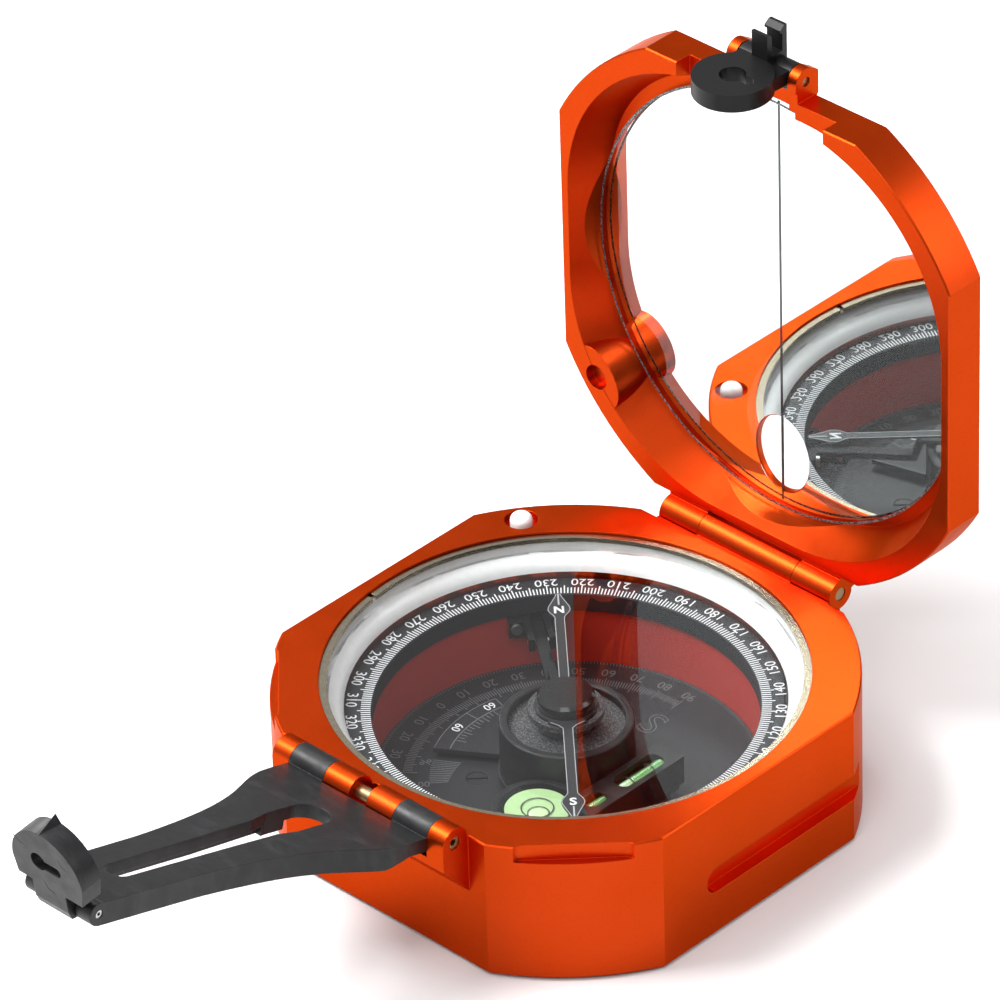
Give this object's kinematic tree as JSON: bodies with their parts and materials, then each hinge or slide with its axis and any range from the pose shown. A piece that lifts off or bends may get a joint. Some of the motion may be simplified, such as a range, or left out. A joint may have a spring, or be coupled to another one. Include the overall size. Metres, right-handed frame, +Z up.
{
  "type": "geology compass",
  "caption": "Pocket transit compass: octagonal metal case, mirrored hinged lid with a small folding sight, long folding sight arm, dial, needle, clinometer with two levels.",
  "frame": {"origin": "on the needle axis, at the base of the case", "axes": "+Z up through the dial, +Y towards the lid hinge, -Y towards the sight arm, X along both hinge lines"},
  "size_m": [0.071, 0.1413, 0.1044],
  "materials": {
    "orange_anodised": "orange anodised, sand-blasted satin",
    "black_plastic": "matte black, faint scuffs",
    "dial_black": "matte dark grey with pale figures",
    "silver_ring": "bright satin",
    "champagne": "champagne plated spring steel",
    "steel": "plain steel",
    "brass": "dulled brass",
    "clear_glass": "clear",
    "mirror_silver": "silvered",
    "black_line": "black line",
    "white_plastic": "white, smooth",
    "grey_disc": "dark grey, sparkling",
    "needle_grey": "dark grey with white outline",
    "black_enamel": "gloss black enamel over metal",
    "liquid_pale": "pale yellow-green liquid",
    "liquid_green": "green liquid"
  },
  "bodies": {
    "case": {"case_body": "orange_anodised", "dial_plate": "dial_black", "dial_plate_screws": "steel", "bevel_ring": "silver_ring", "cover_glass": "clear_glass", "snap_ring": "champagne", "clinometer_bush": "brass", "lever_bracket": "black_enamel", "bracket_screws": "steel", "lever_pivot_pin": "steel", "arm_hinge_pin": "brass"},
    "lid": {"lid_body": "orange_anodised", "mirror_glass": "clear_glass", "mirror_backing": "mirror_silver", "sight_line": "black_line", "lid_hinge_pin": "steel", "small_sight_pin": "steel"},
    "small_sight": {"small_sight": "black_plastic"},
    "sight_arm": {"sight_arm": "black_plastic", "tip_pin": "steel"},
    "tip_sight": {"tip_sight": "black_plastic"},
    "graduated_circle": {"graduated_circle": "dial_black"},
    "circle_screw": {"circle_screw": "brass"},
    "clinometer": {"clinometer_lever": "black_plastic", "clinometer_shaft": "steel", "lever_screw": "steel", "vernier_plate": "dial_black", "level_block": "black_plastic", "round_level_vial": "clear_glass", "round_level_liquid": "liquid_pale", "tube_level_vial": "clear_glass", "tube_level_liquid": "liquid_green", "damping_cup": "black_plastic", "damping_disc": "grey_disc", "needle_pivot": "steel"},
    "lift_pin": {"lift_pin": "white_plastic"},
    "lift_lever": {"lift_lever": "black_enamel"},
    "lift_collar": {"lift_collar": "black_enamel"},
    "needle": {"needle_blade": "needle_grey", "needle_cap": "black_enamel", "needle_magnet": "black_enamel", "needle_jewel": "brass"}
  },
  "joints": [
    {"name": "lid_hinge", "type": "hinge", "parent": "case", "child": "lid", "pos_m": [0, 0.03814, 0.0217], "axis": [1, 0, 0], "range_deg": [-90, 90]},
    {"name": "small_sight_fold", "type": "hinge", "parent": "lid", "child": "small_sight", "pos_m": [0, 0.0426, 0.09802], "axis": [1, 0, 0], "range_deg": [-90, 90]},
    {"name": "sight_arm_hinge", "type": "hinge", "parent": "case", "child": "sight_arm", "pos_m": [0, -0.0379, 0.0217], "axis": [-1, 0, 0], "range_deg": [-16.5, 163.5]},
    {"name": "arm_tip_fold", "type": "hinge", "parent": "sight_arm", "child": "tip_sight", "pos_m": [0, -0.09219, 0.03596], "axis": [1, 0, 0], "range_deg": [-6.7, 66.2]},
    {"name": "graduated_circle_turn", "type": "hinge", "parent": "case", "child": "graduated_circle", "pos_m": [0, 0, 0.0145], "axis": [0, 0, 1], "continuous": true},
    {"name": "circle_screw_turn", "type": "hinge", "parent": "case", "child": "circle_screw", "pos_m": [0.02334, 0.02334, 0.0115], "axis": [0.7071, 0.7071, 0], "continuous": true},
    {"name": "clinometer_turn", "type": "hinge", "parent": "case", "child": "clinometer", "pos_m": [0, 0, 0.003], "axis": [0, 0, 1], "range_deg": [-90, 90]},
    {"name": "lift_pin_press", "type": "slide", "parent": "case", "child": "lift_pin", "axis": [0, 0, -1], "range_m": [0, 0.00065], "stiffness_N_per_m": 150},
    {"name": "lift_lever_tilt", "type": "hinge", "parent": "case", "child": "lift_lever", "pos_m": [-0.01715, 0.01297, 0.0117], "axis": [-0.6032, -0.7976, 0], "range_deg": [0, 2.45]},
    {"name": "lift_collar_rise", "type": "slide", "parent": "case", "child": "lift_collar", "axis": [0, 0, 1], "range_m": [0, 0.0007]},
    {"name": "needle_spin", "type": "hinge", "parent": "lift_collar", "child": "needle", "pos_m": [0, 0, 0.016], "axis": [0, 0, 1], "continuous": true}
  ],
  "couplings": [
    {"joint": "small_sight_fold", "follows": "lid_hinge", "ratio": 1},
    {"joint": "arm_tip_fold", "follows": "sight_arm_hinge", "ratio": 0.40459},
    {"joint": "circle_screw_turn", "follows": "graduated_circle_turn", "ratio": -20.643},
    {"joint": "lift_lever_tilt", "follows": "lift_pin_press", "rad_per_m": 64.103},
    {"joint": "lift_collar_rise", "follows": "lift_pin_press", "ratio": 1.045}
  ]
}
